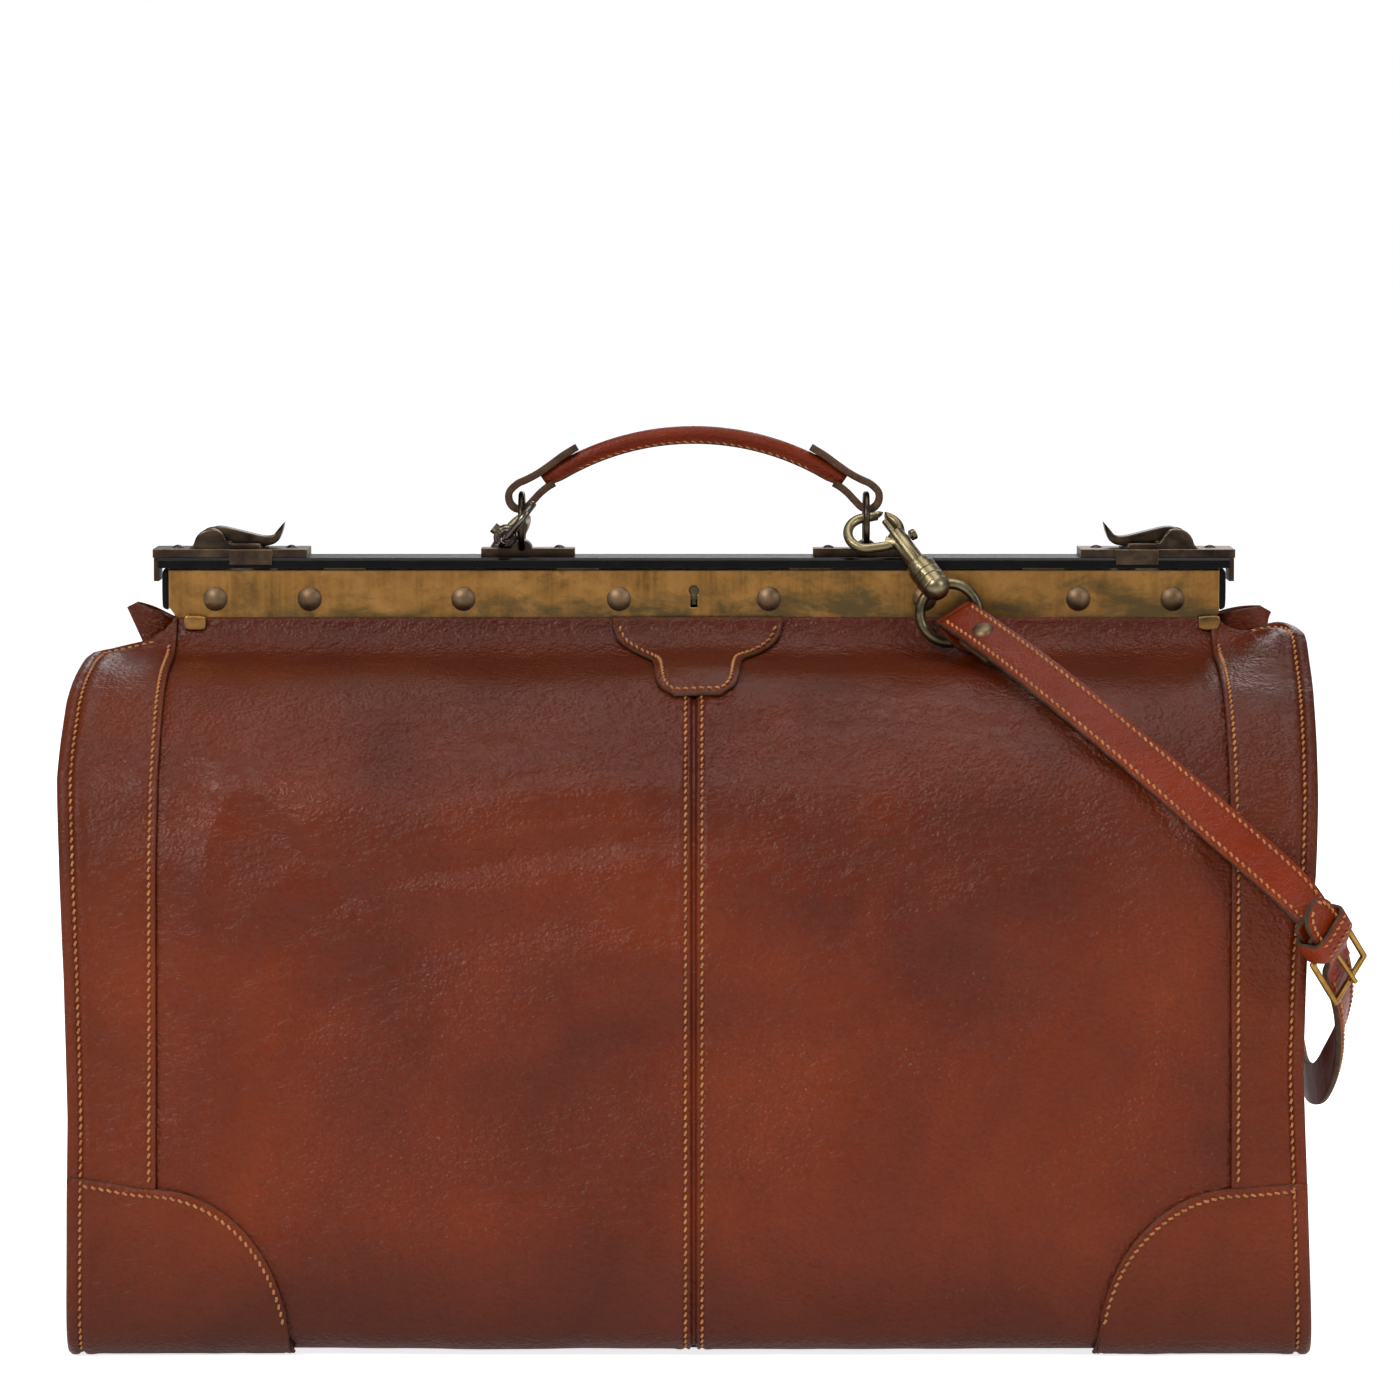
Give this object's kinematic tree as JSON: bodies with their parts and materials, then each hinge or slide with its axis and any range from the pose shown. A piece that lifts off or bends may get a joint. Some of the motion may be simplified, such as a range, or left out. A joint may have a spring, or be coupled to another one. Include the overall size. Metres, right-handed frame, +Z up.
{
  "type": "doctor bag",
  "caption": "Frame-top leather travel bag with two hinged jaws, rail, catches, lock, rolled handle and clip-on shoulder strap.",
  "frame": {"origin": "on the ground under the middle of the body", "axes": "+Z up, -Y is the front with the keyhole, X runs along the hinge axis of the jaws"},
  "size_m": [0.5391, 0.2922, 0.3813],
  "materials": {
    "black_enamel": "gloss black enamel",
    "board": "fibre board",
    "body_leather": "satin pebbled cognac leather",
    "buckle_brass": "polished antique brass",
    "catch_bronze": "dark bronze with worn edges",
    "frame_steel": "plated steel",
    "hardware_brass": "pale antique brass, dark in the recesses",
    "lining_cloth": "woven cotton lining",
    "rail_brass": "brushed antique brass",
    "rivet_bronze": "satin bronze",
    "strap_leather": "smooth burnished cognac leather with raw edges"
  },
  "bodies": {
    "root": {"base_board": "board", "base_panel": "body_leather", "buckle_frame": "buckle_brass", "corner_patches_front": "body_leather", "corner_patches_rear": "body_leather", "front_panel_left": "body_leather", "front_panel_right": "body_leather", "gusset_left": "body_leather", "gusset_right": "body_leather", "hinge_pins": "frame_steel", "inner_pocket": "lining_cloth", "lining": "lining_cloth", "rear_panel_left": "body_leather", "rear_panel_right": "body_leather", "side_bands_front": "body_leather", "side_bands_rear": "body_leather", "strap_front_lower": "strap_leather", "strap_rear_lower": "strap_leather"},
    "front_jaw": {"catch_base_left": "catch_bronze", "catch_base_right": "catch_bronze", "catch_pins": "catch_bronze", "catch_springs": "frame_steel", "frame_screws": "catch_bronze", "front_fold_left": "body_leather", "front_fold_right": "body_leather", "front_frame": "frame_steel", "front_rail": "rail_brass", "front_rivets": "rivet_bronze", "front_yoke_left": "body_leather", "front_yoke_right": "body_leather", "handle_bracket_left": "catch_bronze", "handle_bracket_right": "catch_bronze", "lock_case": "frame_steel", "lock_tab": "body_leather", "plate_spacers": "frame_steel", "snap_hook_left": "hardware_brass", "snap_hook_right": "hardware_brass", "strap_front_upper": "strap_leather", "strap_rear_upper": "strap_leather", "strap_ring_left": "hardware_brass", "strap_ring_right": "hardware_brass", "top_plate": "black_enamel"},
    "rear_jaw": {"catch_keepers": "frame_steel", "lock_tongue": "frame_steel", "rear_fold_left": "body_leather", "rear_fold_right": "body_leather", "rear_frame": "frame_steel", "rear_rail": "rail_brass", "rear_rivets": "rivet_bronze", "rear_yoke_left": "body_leather", "rear_yoke_right": "body_leather"},
    "handle": {"handle_grip": "strap_leather", "handle_links": "catch_bronze", "handle_loops": "strap_leather"},
    "catch_lever_left": {"catch_lever_left": "catch_bronze"},
    "catch_lever_right": {"catch_lever_right": "catch_bronze"},
    "lock_bolt": {"lock_bolt": "frame_steel"},
    "plunger_left": {"plunger_left": "hardware_brass"},
    "plunger_right": {"plunger_right": "hardware_brass"},
    "buckle_prong": {"buckle_prong": "buckle_brass"}
  },
  "joints": [
    {"name": "front_jaw_open", "type": "hinge", "parent": "root", "child": "front_jaw", "pos_m": [0, 0, 0.18], "axis": [1, 0, 0], "range_deg": [0, 40]},
    {"name": "rear_jaw_open", "type": "hinge", "parent": "root", "child": "rear_jaw", "pos_m": [0, 0, 0.18], "axis": [-1, 0, 0], "range_deg": [0, 40]},
    {"name": "catch_left_lift", "type": "hinge", "parent": "front_jaw", "child": "catch_lever_left", "pos_m": [-0.2046, 0, 0.3322], "axis": [0, -1, 0], "range_deg": [0, 60]},
    {"name": "catch_right_lift", "type": "hinge", "parent": "front_jaw", "child": "catch_lever_right", "pos_m": [0.2046, 0, 0.3322], "axis": [0, 1, 0], "range_deg": [0, 60]},
    {"name": "lock_bolt_slide", "type": "slide", "parent": "front_jaw", "child": "lock_bolt", "axis": [-1, 0, 0], "range_m": [0, 0.004]},
    {"name": "handle_swing", "type": "hinge", "parent": "front_jaw", "child": "handle", "pos_m": [0, 0, 0.3396], "axis": [1, 0, 0], "range_deg": [-20, 10]},
    {"name": "plunger_left_pull", "type": "slide", "parent": "front_jaw", "child": "plunger_left", "axis": [-0.03, 0.9983, -0.05], "range_m": [0, 0.0045], "stiffness_N_per_m": 300, "springref_m": -0.001},
    {"name": "plunger_right_pull", "type": "slide", "parent": "front_jaw", "child": "plunger_right", "axis": [0.5248, -0.5278, -0.6678], "range_m": [0, 0.0045], "stiffness_N_per_m": 300, "springref_m": -0.001},
    {"name": "prong_lift", "type": "hinge", "parent": "root", "child": "buckle_prong", "pos_m": [0.25949, -0.14019, 0.17543], "axis": [-0.5137, -0.4941, -0.7014], "range_deg": [0, 60]}
  ],
  "couplings": [
    {"joint": "rear_jaw_open", "follows": "front_jaw_open", "ratio": 1}
  ]
}
